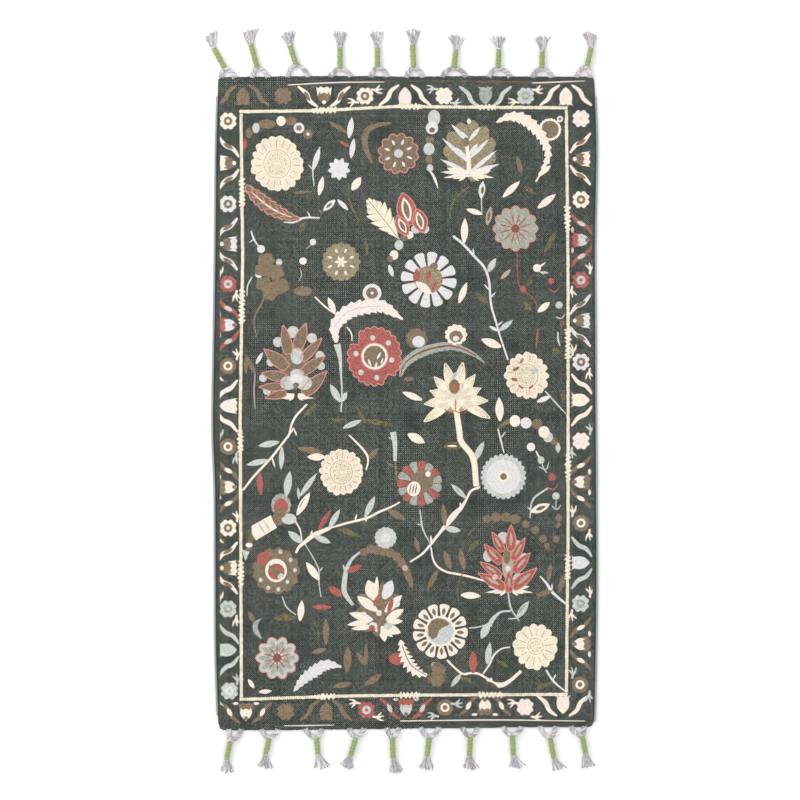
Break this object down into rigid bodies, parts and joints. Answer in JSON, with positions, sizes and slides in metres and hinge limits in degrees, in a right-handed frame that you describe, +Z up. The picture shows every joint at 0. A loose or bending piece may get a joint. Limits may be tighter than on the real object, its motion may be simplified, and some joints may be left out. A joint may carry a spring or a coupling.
{
  "type": "embroidered rug",
  "caption": "Flat-woven cotton floor rug, dark ground printed with flowers and leaves, cream embroidery and a tasselled fringe at both ends.",
  "frame": {"origin": "centre of the cloth's underside, on the floor", "axes": "+Y along the rug to its head end, +X across it to the right as seen from above, +Z up from the floor"},
  "size_m": [0.92, 1.7475, 0.013],
  "materials": {
    "printed_cotton": "matte woven cotton, printed",
    "cream_yarn": "thick matte cream yarn",
    "warp_yarn": "undyed twisted cotton yarn",
    "green_thread": "wound green thread with a soft sheen"
  },
  "bodies": {
    "root": {"rug_cloth": "printed_cotton", "frame_stitch_head": "cream_yarn", "frame_stitch_foot": "cream_yarn", "frame_stitch_left": "cream_yarn", "frame_stitch_right": "cream_yarn", "rosette_stitch_head": "cream_yarn", "rosette_stitch_left": "cream_yarn", "rosette_stitch_right": "cream_yarn", "rosette_stitch_foot": "cream_yarn", "lotus_stitch": "cream_yarn", "leaf_stitch": "cream_yarn", "tassel_yarn_head_01": "warp_yarn", "tassel_wrap_head_01": "green_thread", "tassel_yarn_head_02": "warp_yarn", "tassel_wrap_head_02": "green_thread", "tassel_yarn_head_03": "warp_yarn", "tassel_wrap_head_03": "green_thread", "tassel_yarn_head_04": "warp_yarn", "tassel_wrap_head_04": "green_thread", "tassel_yarn_head_05": "warp_yarn", "tassel_wrap_head_05": "green_thread", "tassel_yarn_head_06": "warp_yarn", "tassel_wrap_head_06": "green_thread", "tassel_yarn_head_07": "warp_yarn", "tassel_wrap_head_07": "green_thread", "tassel_yarn_head_08": "warp_yarn", "tassel_wrap_head_08": "green_thread", "tassel_yarn_head_09": "warp_yarn", "tassel_wrap_head_09": "green_thread", "tassel_yarn_head_10": "warp_yarn", "tassel_wrap_head_10": "green_thread", "tassel_yarn_foot_01": "warp_yarn", "tassel_wrap_foot_01": "green_thread", "tassel_yarn_foot_02": "warp_yarn", "tassel_wrap_foot_02": "green_thread", "tassel_yarn_foot_03": "warp_yarn", "tassel_wrap_foot_03": "green_thread", "tassel_yarn_foot_04": "warp_yarn", "tassel_wrap_foot_04": "green_thread", "tassel_yarn_foot_05": "warp_yarn", "tassel_wrap_foot_05": "green_thread", "tassel_yarn_foot_06": "warp_yarn", "tassel_wrap_foot_06": "green_thread", "tassel_yarn_foot_07": "warp_yarn", "tassel_wrap_foot_07": "green_thread", "tassel_yarn_foot_08": "warp_yarn", "tassel_wrap_foot_08": "green_thread", "tassel_yarn_foot_09": "warp_yarn", "tassel_wrap_foot_09": "green_thread", "tassel_yarn_foot_10": "warp_yarn", "tassel_wrap_foot_10": "green_thread"}
  },
  "joints": []
}
